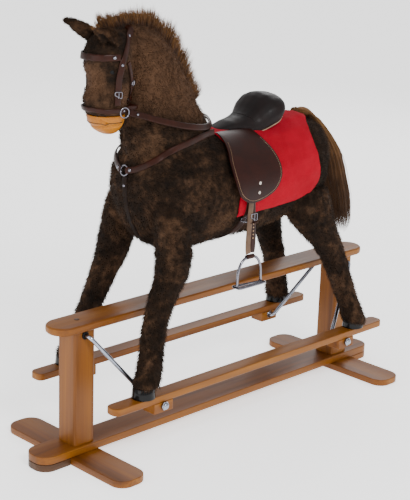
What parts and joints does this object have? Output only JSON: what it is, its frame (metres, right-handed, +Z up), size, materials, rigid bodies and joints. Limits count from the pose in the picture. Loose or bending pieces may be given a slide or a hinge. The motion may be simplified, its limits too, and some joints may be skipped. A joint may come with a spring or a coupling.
{
  "type": "rocking horse",
  "caption": "Plush-covered rocking horse with saddle, bridle and stirrups, swinging on bent steel rods above a long wooden stand.",
  "frame": {"origin": "on the floor, under the middle of the stand", "axes": "+X forwards, towards the horse's head; +Y to the horse's left; +Z up"},
  "size_m": [1.2, 0.44, 1.06],
  "materials": {
    "stand_wood": "warm honey-brown satin varnish over straight grain",
    "rocker_wood": "warm honey-brown satin varnish over straight grain",
    "muzzle_wood": "golden varnished shaped wood",
    "chrome": "bright plated, polished",
    "bush_plastic": "moulded black",
    "hoof_gloss": "high gloss black",
    "plush": "short mottled dark brown pile",
    "hair": "long golden to reddish-brown pile",
    "felt": "dense red felt",
    "saddle_leather": "dark charcoal-brown, fine grain",
    "tack_leather": "dark red-brown, glossy"
  },
  "bodies": {
    "stand": {"bottom_rail": "stand_wood", "front_foot": "stand_wood", "rear_foot": "stand_wood", "front_end_block": "stand_wood", "rear_end_block": "stand_wood", "front_pillar": "stand_wood", "rear_pillar": "stand_wood", "front_bush": "bush_plastic", "rear_bush": "bush_plastic", "top_rail": "stand_wood"},
    "front_rod": {"front_swing_rod": "chrome", "front_left_dome_nut": "chrome", "front_right_dome_nut": "chrome"},
    "rear_rod": {"rear_swing_rod": "chrome", "rear_left_dome_nut": "chrome", "rear_right_dome_nut": "chrome"},
    "rocker": {"left_runner": "rocker_wood", "right_runner": "rocker_wood", "front_left_hanger": "rocker_wood", "front_right_hanger": "rocker_wood", "rear_left_hanger": "rocker_wood", "rear_right_hanger": "rocker_wood", "body": "plush", "head": "plush", "front_left_leg": "plush", "front_right_leg": "plush", "rear_left_leg": "plush", "rear_right_leg": "plush", "front_left_hoof": "hoof_gloss", "front_right_hoof": "hoof_gloss", "rear_left_hoof": "hoof_gloss", "rear_right_hoof": "hoof_gloss", "front_left_leg_post": "rocker_wood", "front_right_leg_post": "rocker_wood", "rear_left_leg_post": "rocker_wood", "rear_right_leg_post": "rocker_wood", "muzzle": "muzzle_wood", "left_ear": "plush", "right_ear": "plush", "mane": "hair", "tail": "hair", "blanket": "felt", "saddle_seat": "saddle_leather", "left_flap": "tack_leather", "right_flap": "tack_leather", "girth": "tack_leather", "browband": "tack_leather", "noseband": "tack_leather", "headpiece": "tack_leather", "throatlatch": "tack_leather", "rein": "tack_leather", "breast_ring": "chrome", "left_breast_strap": "tack_leather", "right_breast_strap": "tack_leather", "chest_strap": "tack_leather"},
    "left_leather": {"left_stirrup_leather": "tack_leather"},
    "right_leather": {"right_stirrup_leather": "tack_leather"},
    "left_stirrup": {"left_stirrup_iron": "chrome"},
    "right_stirrup": {"right_stirrup_iron": "chrome"}
  },
  "joints": [
    {"name": "front_swing", "type": "hinge", "parent": "stand", "child": "front_rod", "pos_m": [0.47, 0, 0.314], "axis": [0, -1, 0], "range_deg": [-10, 10]},
    {"name": "rocker_pitch", "type": "hinge", "parent": "front_rod", "child": "rocker", "pos_m": [0.336, 0, 0.144], "axis": [0, -1, 0], "range_deg": [-14, 14]},
    {"name": "rear_swing", "type": "hinge", "parent": "stand", "child": "rear_rod", "pos_m": [-0.47, 0, 0.314], "axis": [0, -1, 0], "range_deg": [-10, 10]},
    {"name": "left_leather_swing", "type": "hinge", "parent": "rocker", "child": "left_leather", "pos_m": [0.031, 0.1356, 0.622], "axis": [0, -1, 0], "range_deg": [-25, 25]},
    {"name": "right_leather_swing", "type": "hinge", "parent": "rocker", "child": "right_leather", "pos_m": [0.031, -0.1356, 0.622], "axis": [0, -1, 0], "range_deg": [-25, 25]},
    {"name": "left_stirrup_swing", "type": "hinge", "parent": "left_leather", "child": "left_stirrup", "pos_m": [0.031, 0.1356, 0.453], "axis": [1, 0, 0], "range_deg": [-20, 60]},
    {"name": "right_stirrup_swing", "type": "hinge", "parent": "right_leather", "child": "right_stirrup", "pos_m": [0.031, -0.1356, 0.453], "axis": [-1, 0, 0], "range_deg": [-20, 60]}
  ],
  "couplings": [
    {"joint": "rear_swing", "follows": "front_swing", "ratio": 1},
    {"joint": "rocker_pitch", "follows": "front_swing", "ratio": -1.3988}
  ]
}
